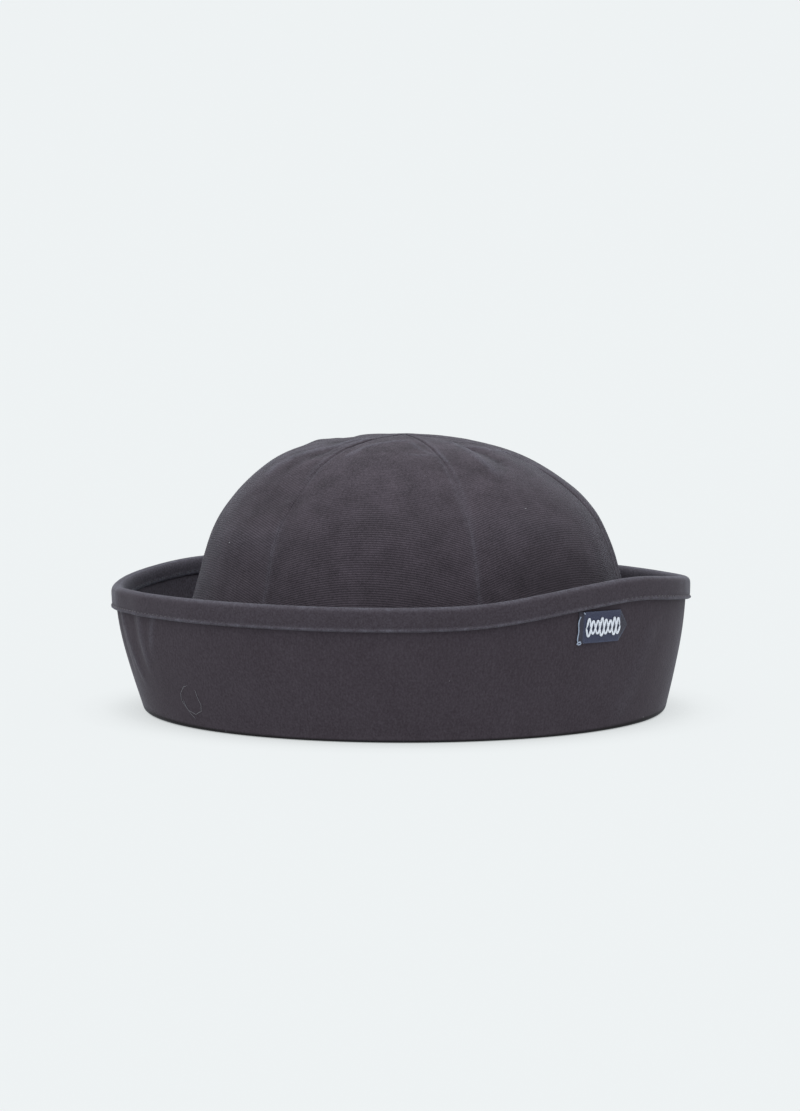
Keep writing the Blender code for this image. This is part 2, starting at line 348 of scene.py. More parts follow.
def crownMaterial(ribPitch):
    finish = crownFinish
    material, tree, shader = newMaterial("crown rib cotton", finish)
    across, down = clothAxes(tree)[:2]
    ribs = times(tree, down, clothUnit / ribPitch)
    ribWave = calculate(tree, "COSINE", times(tree, ribs, 2 * math.pi))
    ribIndex = calculate(tree, "FLOOR", plus(tree, ribs, 0.5))
    along = times(tree, across, clothUnit / finish["threadPitch"])
    threadTurn = plus(tree, along, times(tree, ribIndex, 0.5))      # each rib is half a thread on
    threads = calculate(tree, "SINE", times(tree, threadTurn, 2 * math.pi))
    fuzz = clothNoise(tree, finish["fuzzScale"], 3.0, 0.65)
    patches = clothNoise(tree, finish["patchScale"], 4.0)
    place = addNode(tree, "ShaderNodeTexCoord").outputs["Object"]
    height = addNode(tree, "ShaderNodeSeparateXYZ", [("Vector", place)]).outputs[2]
    # Valleys between the ribs get painted shade, and the dye is a little uneven.
    plain = remap(tree, height, *finish["smoothAbove"], 1.0, 0.30)
    crossing = remap(tree, times(tree, threads, fuzz), -0.4, 0.4, 0.45, 1.0)
    valleyShade = times(tree, times(tree, remap(tree, ribWave, -1.0, 0.5, 0.95, 0.0), plain), crossing)
    colour = mixColours(tree, valleyShade, finish["colour"], finish["ribAndCreaseShadeColour"])
    uneven = remap(tree, plus(tree, times(tree, fuzz, 1.5), patches), 0.9, 1.6, -1.0, 1.0)
    share = remap(tree, height, *finish["smoothAbove"], finish["mottle"], 1.5 * finish["mottle"])
    colour = shadeBy(tree, colour, plus(tree, 1.0, times(tree, uneven, share)))
    # Wear, and painted highlights along crests; below nought, painted shade in creases and hollows.
    wearAndPaintedLight = painted(tree, "wearAndPaintedLight")
    wearAndLight = times(tree, wearAndPaintedLight, remap(tree, fuzz, 0.35, 0.7, 0.35, 1.0))
    colour = mixColours(tree, wearAndLight, colour, finish["wearAndHighlightColour"])
    colour = mixColours(tree, times(tree, wearAndPaintedLight, -1.0), colour, finish["ribAndCreaseShadeColour"])
    colour = mixColours(tree, lintSpecks(tree, *finish["lint"]), colour, finish["lintColour"])
    tree.links.new(colour, shader.inputs["Base Color"])
    roughen(tree, shader, plus(tree, times(tree, threads, 0.5), fuzz), finish["threadBump"], 0.7)
    return material


brimFinish = {
    "colour": (0.0350, 0.0270, 0.0350, 1.0),
    "lightColour": (0.0600, 0.0500, 0.0625, 1.0),
    # painted shade along the bottom fold's underside
    "paintedShadeColour": (0.004, 0.0035, 0.0035, 1.0),
    "lintColour": (0.32, 0.32, 0.35, 1.0),
    "lint": (8 * mm, 0.24 * mm, 0.20),
    "roughness": 0.94,
    "sheen": 0.15,
    "sheenTint": (0.84, 0.88, 1.0),
    "sheenRoughness": 0.24,
    "streakScale": (1500, 1500, 170),
    "streakShare": 0.55,
    "napScale": (1400, 1400, 1100),
    "napShare": 1.15,
    "napBump": 0.10 * mm,
    "patchScale": (60, 60, 45),
    "patchShare": 0.4,
}

bindingFinish = {
    **brimFinish,
    "colour": (0.0365, 0.0290, 0.0370, 1.0),
    "lightColour": (0.0650, 0.0560, 0.0700, 1.0),
    "lintColour": (0.40, 0.40, 0.43, 1.0),
    "roughness": 0.93,
    "sheen": 0.20,
    "sheenTint": (0.82, 0.87, 1.0),
    "streakScale": (900, 900, 500),
    "streakShare": 0.6,
    "napScale": (1500, 1500, 1500),
    "napShare": 1.1,
}


def brushedMaterial(name, finish):
    material, tree, shader = newMaterial(name, finish)
    streaks = clothNoise(tree, finish["streakScale"], 3.0, 0.6)
    nap = clothNoise(tree, finish["napScale"], 2.0)
    patches = clothNoise(tree, finish["patchScale"], 3.0)
    light = plus(tree, times(tree, nap, finish["napShare"]), times(tree, patches, finish["patchShare"]))
    light = plus(tree, times(tree, streaks, finish["streakShare"]), light)
    lightShare = remap(tree, light, 0.80, 1.45, 0.0, 0.85)
    colour = mixColours(tree, lightShare, finish["colour"], finish["lightColour"])
    # The map holds wear, painted highlights on fold crests and painted light on the hidden side.
    wearAndPaintedLight = painted(tree, "wearAndPaintedLight")
    wearAndLight = times(tree, wearAndPaintedLight, remap(tree, nap, 0.35, 0.65, 0.4, 1.0))
    colour = mixColours(tree, wearAndLight, colour, crownFinish["wearAndHighlightColour"])
    colour = mixColours(tree, lintSpecks(tree, *finish["lint"]), colour, finish["lintColour"])
    # Below nought, the map paints shade along the bottom fold's underside.
    colour = mixColours(tree, times(tree, wearAndPaintedLight, -1.0), colour, finish["paintedShadeColour"])
    tree.links.new(colour, shader.inputs["Base Color"])
    roughen(tree, shader, plus(tree, nap, times(tree, streaks, 0.8)), finish["napBump"], 0.8)
    return material


# Camera, floor and light

stageLook = {
    "cameraPlace": (-0.0003, -1.4868, 0.1984),
    "cameraPitch": 84.58,          # degrees up from straight down
    "lens": 128.8,                 # mm, on a 36 mm frame held upright
    "paper": (0.863, 0.896, 0.905),
    "floorGlow": 0.967,            # share of the floor's brightness that soft shadows don't take away
    "floorTint": 0.020,
    "contactReach": 26 * mm,       # how far the painted contact shadow under the cap spreads over the paper
    "contactShadowDepth": 0.50,
    "floorReach": 6.0,             # metres to each side
    "coveHeight": 2.4,             # the paper turns up into a wall on all sides
    "coveRound": 1.6,
    "skyStrength": 1.0,
    "sunStrength": 1.55,
    "sunSoftness": 95.0,           # degrees
    "sunTilt": (12.0, -6.0),       # degrees towards the camera's side and to the side
}


def makeCamera():
    camera = bpy.data.objects.new("camera", bpy.data.cameras.new("camera"))
    camera.location = stageLook["cameraPlace"]
    camera.rotation_euler = (math.radians(stageLook["cameraPitch"]), 0.0, 0.0)
    camera.data.lens = stageLook["lens"]
    camera.data.sensor_width = 36.0
    camera.data.clip_start = 0.01
    scene.collection.objects.link(camera)
    scene.camera = camera


def makeFloor():
    # Pale paper: a level floor whose edges turn up in a soft curve, so that no horizon shows.
    reach = stageLook["floorReach"]
    bpy.ops.object.select_all(action="DESELECT")
    bpy.ops.mesh.primitive_plane_add(size=2 * reach, location=(0, 0, 0))
    floor = bpy.context.object
    floor.name = "paper_floor"
    editMode()
    bpy.ops.mesh.select_mode(type="EDGE")
    selectAll()
    bpy.ops.mesh.extrude_edges_move(TRANSFORM_OT_translate={"value": (0, 0, stageLook["coveHeight"])})
    selectAll("DESELECT")
    objectMode()
    for edge in floor.data.edges:
        ends = [floor.data.vertices[index].co.z for index in edge.vertices]
        edge.select = min(ends) < 0.001      # the floor's edges and the four upright corners
    editMode()
    bpy.ops.mesh.bevel(offset=stageLook["coveRound"], segments=16, affect="EDGES")
    objectMode()
    pick(floor)
    bpy.ops.object.shade_smooth()
    material = bpy.data.materials.new("studio paper")
    material.use_nodes = True
    tree = material.node_tree
    shader = tree.nodes["Principled BSDF"]
    shader.inputs["Base Color"].default_value = (*[c * stageLook["floorTint"] for c in stageLook["paper"]], 1)
    shader.inputs["Roughness"].default_value = 1.0
    shader.inputs["Specular IOR Level"].default_value = 0.0
    shader.inputs["Emission Color"].default_value = (*stageLook["paper"], 1)
    # The paper's glow is cut close to what stands on it: a painted contact shadow.
    near = addNode(tree, "ShaderNodeAmbientOcclusion", [("Distance", stageLook["contactReach"])], samples=4)
    hidden = calculate(tree, "SUBTRACT", 1.0, near.outputs["AO"])
    paintedShadow = times(tree, times(tree, hidden, hidden), stageLook["contactShadowDepth"])
    glow = times(tree, calculate(tree, "SUBTRACT", 1.0, paintedShadow), stageLook["floorGlow"])
    tree.links.new(glow, shader.inputs["Emission Strength"])
    floor.data.materials.append(material)


def makeLight():
    world = bpy.data.worlds.new("studio")
    scene.world = world
    world.use_nodes = True
    background = world.node_tree.nodes["Background"]
    background.inputs["Color"].default_value = (*stageLook["paper"], 1)
    background.inputs["Strength"].default_value = stageLook["skyStrength"]
    sun = bpy.data.objects.new("overhead softbox", bpy.data.lights.new("overhead softbox", "SUN"))
    sun.data.energy = stageLook["sunStrength"]
    sun.data.angle = math.radians(stageLook["sunSoftness"])
    tiltFront, tiltSide = stageLook["sunTilt"]
    sun.rotation_euler = (math.radians(tiltFront), math.radians(tiltSide), 0.0)
    scene.collection.objects.link(sun)


makeCamera()
makeFloor()
makeLight()
scene.view_settings.view_transform = "Standard"
print("camera, floor and light are in place")


# Crown: six gores whose rows follow the ribs of the cloth

crown = {
    "gores": 6,
    "firstSeam": 19.5,             # azimuth of the first seam, in degrees
    "rayHeight": 12 * mm,          # height of the point that the crown is measured from
    "wall": 1.2 * mm,
    "ribPitch": 0.87 * mm,
    "ribRise": 0.15 * mm,
    "ribsFade": (66 * mm, 92 * mm),
    "ribLoss": 0.55,               # share of their rise that the ribs lose up there
    "rowsPerRib": 3,
    "fullWidth": 46 * mm,          # half a gore's width, where the columns below lie as written
    "columns": (0.0, 0.3, 0.6, 1.0, 1.5, 2.2, 3.2, 4.4, 5.4, 6.4, 8.5, 11, 14, 17.5, 21.5, 26, 31, 36, 41),
    "edgeGap": 0.22 * mm,          # from the seam's middle to the last point measured on a gore
    "seamGap": 0.02,               # share of the gap between two gores that stays open
    "seamDepth": (0.02 * mm, 0.36 * mm),    # low down and near the top
    "seamDeepens": (86 * mm, 96 * mm),      # heights between which it changes
    "seamWidth": 0.32 * mm,
    "ridgeRise": (0.05 * mm, 0.13 * mm),    # the roll beside a seam, low down and near the top
    "ridgePlace": 1.1 * mm,
    "ridgeWidth": 0.7 * mm,
    "wearGrows": (70 * mm, 95 * mm),
    "ridgeWear": (0.04, 0.12),
    "ridgeWearWidth": 0.6 * mm,
    "seamWear": (0.14, 0.0),
    "seamWearWidth": 0.5 * mm,
    "foldWidth": 5.6 * mm,         # the seam allowance pressed flat under one side
    "foldSoftness": 0.35 * mm,
    "foldRise": 0.10 * mm,
    "fullFrom": 12 * mm,           # half a gore's width from which folds and puckers have their full height
    "puckerRise": 0.12 * mm,
    "puckerSize": 9 * mm,
    "smoothing": 3,
    "growth": 0.25 * mm,           # makes up for what smoothing takes off the CAD form
    # Creases and hollows: a line of azimuths and polar angles in degrees, width and rise in mm,
    # and a painted highlight along the crest. A value below nought paints shade along the crease or hollow
    # instead.
    "creases": [
        (((-68, 35), (-62, 27), (-51, 21), (-53, 12)), 1.3, 0.60, 0.40),
        (((-79, 35), (-72, 27), (-60, 20)), 1.3, 0.30, 0.22),
        (((-60, 36), (-53, 28), (-46, 22)), 1.5, -0.45, -0.35),
        (((-62, 20), (-60, 12)), 1.1, -0.35, -0.50),
        (((-31, 26), (-28, 19.5), (-18, 15.6), (4, 12)), 1.0, 0.36, 0.38),
        (((-47, 25), (-46, 19), (-44, 11)), 0.8, 0.30, 0.36),
        (((-41, 21), (-41, 9)), 0.5, -0.10, -0.70),
        (((19.5, 7), (19.5, 20)), 0.35, -0.05, -0.50),
        (((21, 20), (21, 27)), 0.5, 0.05, 0.20),
        (((45, 14), (45, 20), (40, 27), (41, 34)), 1.4, 0.60, 0.34),
        (((54, 18), (54, 23), (52, 29)), 2.4, -0.90, -0.35),
        (((43, 14.6), (59, 17.9), (68, 22.5), (86, 25)), 1.1, 0.42, 0.38),
        (((48, 11.5), (68, 15.5), (86, 19)), 0.9, -0.20, -0.35),
        (((4, 13.4), (10, 19.5), (16, 24)), 0.9, 0.20, 0.25),
        (((1, 23.8), (9, 24.2), (17, 23)), 0.9, 0.22, 0.20),
        (((-66, 30), (-44, 30)), 5.0, 0.40, 0),
        (((-60, 43), (-42, 42)), 6.0, -0.80, -0.28),
        (((-62, 54), (-40, 53)), 6.0, 0.70, 0.05),
        (((24, 50), (50, 52)), 6.0, 0.40, 0.04),
        (((26, 65), (62, 66)), 7.0, -0.50, -0.22),
        (((-16, 57), (-4, 57)), 7.0, -0.30, 0),
        (((-16, 69), (-4, 69)), 7.0, 0.50, 0),
        (((-142, 21), (-120, 15.4), (-104, 13)), 3.4, -0.85, -0.12),
        (((-125, 24.2), (-108, 21.7), (-100, 21.3)), 3.0, 0.55, 0.04),
        (((79, 34), (78.8, 50), (78.5, 78)), 1.2, -0.45, -0.60),
        (((84, 34), (84, 78)), 3.0, 0.60, 0.12),
    ],
    "creaseMap": 90 * mm,          # polar angle in radians to distance from the top
    "creaseFade": 3 * mm,
}


def goreForm(number):
    # The outer face of the CAD gore, smoothed, for rays to meet.
    eye = capMiddle + Vector((0, 0, crown["rayHeight"]))
    form = copyOfNode(f"crown_gore_{number}", "goreForm")
    deleteFaces(form, lambda face: face.normal.dot((face.center - eye).normalized()) < 0.3)
    subdivide(form, crown["smoothing"], boundary_smooth="PRESERVE_CORNERS")
    return form, eye


def castFrom(form, eye, azimuth, polar, distance=None):
    # Where a ray from the eye meets the form, or else the form's closest point to that distance.
    way = Vector((0, 0, math.cos(polar))) + outward(azimuth) * math.sin(polar)
    found, spot, _, _ = form.ray_cast(eye, way)
    if not found and distance:
        found, spot, _, _ = form.closest_point_on_mesh(eye + way * distance)
    return np.array(spot) if found else None


def meridian(form, eye, azimuth):
    # Distance from the top, polar angle and distance from the axis, down the middle of a gore.
    polars, spots = [], []
    for step in range(1, 400):
        polar = math.radians(0.26 * step)
        spot = castFrom(form, eye, azimuth, polar)
        if spot is None:
            if spots:
                break
            continue
        polars.append(polar)
        spots.append(spot)
    spots = np.array(spots)
    radius = np.hypot(spots[:, 0] - eye.x, spots[:, 1])
    lengths = np.concatenate([[0.0], np.cumsum(np.linalg.norm(np.diff(spots, axis=0), axis=1))])
    return lengths + radius[0], np.array(polars), radius, spots


def layGore(number):
    form, eye = goreForm(number)
    spread = 360.0 / crown["gores"]
    middle = crown["firstSeam"] + spread * (number - 1.5)
    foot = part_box(f"crown_gore_{number}")[0].z
    lengths, polars, radius, spots = meridian(form, eye, middle)
    total = lengths[-1]
    distances = np.linalg.norm(spots - np.array(eye), axis=1)

    # How much further down a thread lies at the seam than in the middle, as in a flat gore.
    halfWidth = radius * math.radians(spread / 2)
    slope = np.gradient(halfWidth, lengths)
    dip = np.concatenate([[0.0], np.cumsum(np.diff(lengths) * (np.sqrt(1 + slope[1:] ** 2) - 1))])

    fromSeam = np.array(crown["columns"]) * mm / crown["fullWidth"]
    columns = np.concatenate([fromSeam - 1, [0.0], 1 - fromSeam[::-1]])
    rows = int(round(total / crown["ribPitch"] * crown["rowsPerRib"]))
    gore = newGrid(f"crownGore{number}", len(columns) - 1, rows)
    shape = (rows + 1, len(columns))

    points = np.zeros((*shape, 3))
    flatAcross = np.zeros(shape)
    flatDown = np.zeros(shape)
    for row in range(rows + 1):
        down = total * (1 - row / rows)      # the grid's first row is the gore's foot
        for column, across in enumerate(columns):
            reach = down + across * across * np.interp(down, lengths, dip)
            polar = np.interp(reach, lengths, polars)
            wide = max(np.interp(reach, lengths, radius), 0.0)
            trim = math.degrees(math.asin(min(crown["edgeGap"] / max(wide, 0.5 * mm), 1.0)))
            azimuth = middle + across * max(spread / 2 - trim, 0.0)
            measured = min(max(polar, polars[2]), polars[-3])
            spot = castFrom(form, eye, azimuth, measured, np.interp(measured, polars, distances))
            if reach > lengths[-3]:          # past the foot, straight on down the wall
                fall = (spots[-3] - spots[-8]) / (lengths[-3] - lengths[-8])
                way = outward(azimuth)
                lean = math.hypot(fall[0], fall[1])
                spot = spot + (reach - lengths[-3]) * np.array((way.x * lean, way.y * lean, fall[2]))
            if reach < lengths[2]:           # and straight in to the top
                top = np.array((eye.x, eye.y, crownTop + crown["growth"]))
                spot = top + (spot - top) * reach / lengths[2]
            points[row, column] = spot
            flatDown[row, column] = down
            flatAcross[row, column] = across * np.interp(down, lengths, halfWidth)
    bpy.data.objects.remove(form)
    return gore, points, flatAcross, flatDown, columns, middle, foot


def gridNormals(points):
    acrossWay = np.gradient(points, axis=1)
    downWay = np.gradient(points, axis=0)
    normals = np.cross(acrossWay, downWay)
    size = np.linalg.norm(normals, axis=2, keepdims=True)
    return normals / np.maximum(size, 1e-12)


def mapPlace(azimuth, polar):
    # The crown's top laid out flat: distance from the top, turned by the azimuth.
    reach = np.asarray(polar) * crown["creaseMap"]
    return np.stack([reach * np.sin(azimuth), reach * np.cos(azimuth)], axis=-1)


def creaseRelief(points):
    eye = capMiddle + Vector((0, 0, crown["rayHeight"]))
    offCentre = points - np.array(eye)
    level = np.hypot(offCentre[..., 0], offCentre[..., 1])
    places = mapPlace(np.arctan2(offCentre[..., 0], -offCentre[..., 1]), np.arctan2(level, offCentre[..., 2]))
    relief = np.zeros(level.shape)
    light = np.zeros(level.shape)
    dark = np.zeros(level.shape)
    for line, width, rise, wearAndLight in crown["creases"]:
        corners = [mapPlace(math.radians(azimuth), math.radians(polar)) for azimuth, polar in line]
        near = np.full(level.shape, np.inf)
        for start, end in zip(corners, corners[1:]):
            along = end - start
            share = np.clip(((places - start) @ along) / (along @ along), 0.0, 1.0)
            near = np.minimum(near, np.linalg.norm(places - start - share[..., None] * along, axis=-1))
        toEnds = np.minimum(np.linalg.norm(places - corners[0], axis=-1),
                            np.linalg.norm(places - corners[-1], axis=-1))
        fade = np.clip(0.25 + toEnds / max(crown["creaseFade"], width * mm), 0.0, 1.0)
        shape = bell(near, width * mm) * fade
        relief += rise * mm * shape
        # Positive values paint a highlight on the crest; negative ones paint shade.
        if wearAndLight > 0:
            light = np.maximum(light, wearAndLight * shape)
        else:
            dark = np.minimum(dark, wearAndLight * shape)
    return relief, light + dark


def goreRelief(points, flatAcross, flatDown, columns):
    # Height of the cloth above the measured form: seam, rolls beside it, puckers and ribs.
    height = points[:, :, 2]
    halfWidth = np.abs(flatAcross[:, :1])
    fromSeam = halfWidth - np.abs(flatAcross)
    fullness = np.clip(halfWidth / crown["fullFrom"], 0.0, 1.0)
    high = ramp(height, *crown["seamDeepens"])
    relief = -blend(crown["seamDepth"], high) * bell(fromSeam, crown["seamWidth"])
    relief += blend(crown["ridgeRise"], high) * bell(fromSeam - crown["ridgePlace"], crown["ridgeWidth"])
    pressed = 1 / (1 + np.exp((fromSeam - crown["foldWidth"]) / crown["foldSoftness"]))
    rightSide = columns[None, :] > 0
    relief += crown["foldRise"] * pressed * rightSide * fullness
    puckers = np.zeros_like(relief)
    for place in np.ndindex(relief.shape):
        spot = Vector(points[place]) / crown["puckerSize"]
        puckers[place] = noise.noise(spot) + 0.5 * noise.noise(spot * 2.3)
    nearSeam = 0.45 + 0.9 * np.exp(-fromSeam / (7 * mm))
    relief += crown["puckerRise"] * puckers * nearSeam * fullness
    ribs = 0.5 * np.cos(2 * math.pi * flatDown / crown["ribPitch"])
    ribRise = crown["ribRise"] * (1 - crown["ribLoss"] * ramp(height, *crown["ribsFade"]))
    relief += ribRise * ribs * (1 + 0.35 * puckers) * np.clip(fromSeam / mm, 0.15, 1.0)
    creases, creaseLight = creaseRelief(points)
    return relief + creases + crown["growth"], fromSeam, creaseLight


def makeGore(number, material):
    gore, points, flatAcross, flatDown, columns, middle, foot = layGore(number)
    relief, fromSeam, creaseLight = goreRelief(points, flatAcross, flatDown, columns)
    normals = gridNormals(points)
    if normals[:, :, 2].mean() < 0:
        normals = -normals
    points = points + normals * relief[:, :, None]
    # The last column closes the seam down to a hair's width.
    axis = np.array(capMiddle.xy)
    for side, column in ((-1, 0), (1, -1)):
        way = np.array(outward(middle + side * 180.0 / crown["gores"]).xy)
        offCentre = points[:, column, :2] - axis
        flush = np.outer(offCentre @ way, way)
        points[:, column, :2] = axis + flush + crown["seamGap"] * (offCentre - flush)
    movePoints(gore, points.reshape(-1, 3))
    layCloth(gore, np.stack([flatAcross, flatDown], axis=2).reshape(-1, 2))
    high = ramp(points[:, :, 2], *crown["wearGrows"])
    ridge = bell(fromSeam - crown["ridgePlace"], crown["ridgeWearWidth"])
    onSeam = bell(fromSeam, crown["seamWearWidth"])
    # Wear along the seams and their rolls, plus the creases' painted highlights and painted shade.
    wearAndPaintedLight = blend(crown["ridgeWear"], high) * ridge + blend(crown["seamWear"], high) * onSeam + creaseLight
    paintPoints(gore, "wearAndPaintedLight", wearAndPaintedLight)
    pick(gore)
    editMode()
    selectAll()
    bpy.ops.mesh.remove_doubles(threshold=sameSpot)
    bpy.ops.mesh.bisect(plane_co=(0, 0, foot), plane_no=(0, 0, -1), clear_outer=True)
    selectAll()
    bpy.ops.mesh.normals_make_consistent(inside=False)
    objectMode()
    faceOutward(gore)
    applyModifier(gore, "SOLIDIFY", thickness=crown["wall"], offset=-1.0, use_rim=True)
    finishPiece(gore, f"crown_gore_{number}", material, sharp=60)


ribCotton = crownMaterial(crown["ribPitch"])
for goreNumber in range(1, crown["gores"] + 1):
    makeGore(goreNumber, ribCotton)
print("crown is sewn")


# Brim: the turned-up wall with its pressed bottom fold

brim = {
    "smoothing": 2,
    "puckerPitch": 5.5 * mm,       # small puckers under the binding's stitches
    "puckerRise": 0.10 * mm,
    "puckerFade": 9 * mm,          # how far down the wall they reach
    "waveSize": 26 * mm,
    "waveRise": 0.30 * mm,
    # Upright folds pressed into the wall: azimuth and height of the upper and lower end, width and
    # rise, with the lengths in mm.
    "folds": [
        ((-63.3, 41), (-63.0, 25), 1.4, 0.70),
        ((-67.5, 42), (-66.5, 28), 2.4, -0.50),
        ((-73.5, 40), (-69.5, 20), 1.8, 0.75),
        ((-79.0, 38), (-76.5, 22), 2.6, -0.50),
        ((-57.5, 40), (-59.0, 33), 1.3, 0.22),
        ((58.0, 34), (52.0, 8), 5.0, 0.35),
    ],
    "foldFade": 5 * mm,
    "foldHighlight": 0.115,             # painted highlight along the crests of the folds
    "hiddenSideLight": 0.22,            # painted light on the hidden side, in the trough's shade
    "foldFullness": 0.45 * mm,     # how far the bottom fold stands out in front
    "foldShadeHeight": (1.1 * mm, 2.6 * mm),  # how high the fold's underside gets painted shade, in front and at the sides
    "foldShadeSoftness": 0.8 * mm,
    "foldShadeDepth": 0.95,
    "flatShare": 1.16,             # width of the flat cloth against the brim's height
}


def foldRelief(points, radius):
    # Rise of the wall's upright folds, and how much light their crests catch.
    azimuths = azimuthOf(points)
    relief = np.zeros(len(points))
    light = np.zeros(len(points))
    for (topAzimuth, top), (bottomAzimuth, bottom), width, rise in brim["folds"]:
        down = np.clip((top * mm - points[:, 2]) / (top * mm - bottom * mm), -1.0, 2.0)
        across = np.radians(azimuths - topAzimuth - down * (bottomAzimuth - topAzimuth)) * radius
        below = np.maximum(bottom * mm - points[:, 2], 0.0)
        above = np.maximum(points[:, 2] - top * mm, 0.0)
        shape = bell(across, width * mm) * bell(below + above, brim["foldFade"])
        relief += rise * mm * shape
        if rise > 0:
            light = np.maximum(light, shape * 2 / width)
    return relief, light


def makeBrim(material):
    piece = copyOfNode("brim", "brimCloth")
    subdivide(piece, brim["smoothing"])
    points = meshPoints(piece)
    height = points[:, 2]
    radius = radiusOf(points)
    normals, faceOut = facing(piece, points, radius)
    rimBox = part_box("brim")
    onWall = ramp(height, 4 * mm, 16 * mm)
    fromTop = np.maximum(rimBox[1].z - height, 0.0)
    around = np.radians(azimuthOf(points)) * radius
    shift = np.zeros(len(points))
    for index, spot in enumerate(points):
        wave = noise.noise(Vector(spot) / brim["waveSize"] + Vector((3.1, 0.7, 5.2)))
        pucker = noise.noise(Vector((around[index] / brim["puckerPitch"], spot[2] / (14 * mm), 2.0)))
        shift[index] = (brim["waveRise"] * wave
                        + brim["puckerRise"] * pucker * math.exp(-fromTop[index] / brim["puckerFade"]))
    folds, foldLight = foldRelief(points, radius)
    shift += folds
    sideways = np.abs(points[:, 0] - capMiddle.x) / radius
    fullFold = brim["foldFullness"] * bell(height - 0.9 * mm, 1.2 * mm) * (faceOut > 0.1)
    fullFold *= 1 - sideways ** 2
    movePoints(piece, points + alongRadius(points, radius, shift * onWall + fullFold, 0.0))
    # Painted highlights on the fold crests outside, painted light on the hidden side inside.
    wearAndPaintedLight = np.where(faceOut > 0, brim["foldHighlight"] * foldLight, brim["hiddenSideLight"])
    # Painted shade along the bottom fold's underside, where it meets the floor.
    foldShadeTop = blend(brim["foldShadeHeight"], sideways ** 4)
    foldShade = np.clip((foldShadeTop - height) / brim["foldShadeSoftness"] + 0.5, 0.0, 1.0)
    foldShade *= (normals[:, 2] < 0.1) & (faceOut > -0.3)
    paintPoints(piece, "wearAndPaintedLight", np.where(foldShade > 0, -brim["foldShadeDepth"] * foldShade, wearAndPaintedLight))
    finishPiece(piece, "brim", material, sharp=60)
    return piece


brimCotton = brushedMaterial("brim brushed cotton", brimFinish)
brimPiece = makeBrim(brimCotton)


# Binding over the rim, with its two rows of stitches

binding = {
    "smoothing": 2,
    "stitchPitch": 2.7 * mm,
    "stitchLength": 1.9 * mm,
    "stitchWidth": 0.30 * mm,
    "stitchSink": 0.06 * mm,
    "stitchAbove": 1.45 * mm,      # from the binding's lower edge up to its stitches
    "innerAbove": 0.8,             # share of that on the inner leg
    "stitchReach": (109 * mm, 104 * mm),    # radius that the outer and the inner row are counted on
    "grooveDepth": 0.20 * mm,
    "grooveWidth": 0.35 * mm,
    "beadPlace": 0.75 * mm,        # the rolled bead along the lower edge
    "beadRise": 0.26 * mm,
    "beadWidth": 0.50 * mm,
    "innerBeadWidth": 0.85 * mm,
    "beadWear": 0.24,
    "innerBeadHighlight": 0.95,         # painted highlight along the inner leg's edge, deep in the trough's shade
    "topHighlight": 0.24,               # painted highlight along the fold at the very rim, where it faces up
    "innerTuck": 0.80 * mm,        # the inner leg thins towards its edge, which lies close to the brim
    "innerDrop": 0.50 * mm,
    "innerLegLight": 0.24,             # painted light over the whole inner leg, in the trough's shade
    "flatWidth": 16.5 * mm,
}


def ringSpans(points):
    # The binding's rings of points, each with its azimuth and the radius half way between its legs.
    azimuths = np.round(azimuthOf(points), 1)
    radius = radiusOf(points)
    for angle in np.unique(azimuths):
        ring = azimuths == angle
        if ring.sum() >= 8:
            yield angle, ring, 0.5 * (radius[ring].min() + radius[ring].max())


def ringEdge(points, wantOuter):
    # Lowest point of the binding's outer or inner leg, by azimuth.
    radius = radiusOf(points)
    angles, heights = [], []
    for angle, ring, middle in ringSpans(points):
        angles.append(angle)
        heights.append(points[ring & ((radius > middle) if wantOuter else (radius < middle)), 2].min())
    return np.array(angles), np.array(heights)


def edgeHeight(edge, azimuth):
    angles, heights = edge
    return float(np.interp((azimuth + 180.0) % 360.0 - 180.0, angles, heights, period=360.0))


def ringMiddle(points):
    # Radius half way between the binding's two legs, by azimuth.
    spans = [(angle, middle) for angle, _, middle in ringSpans(points)]
    return np.array(spans).T


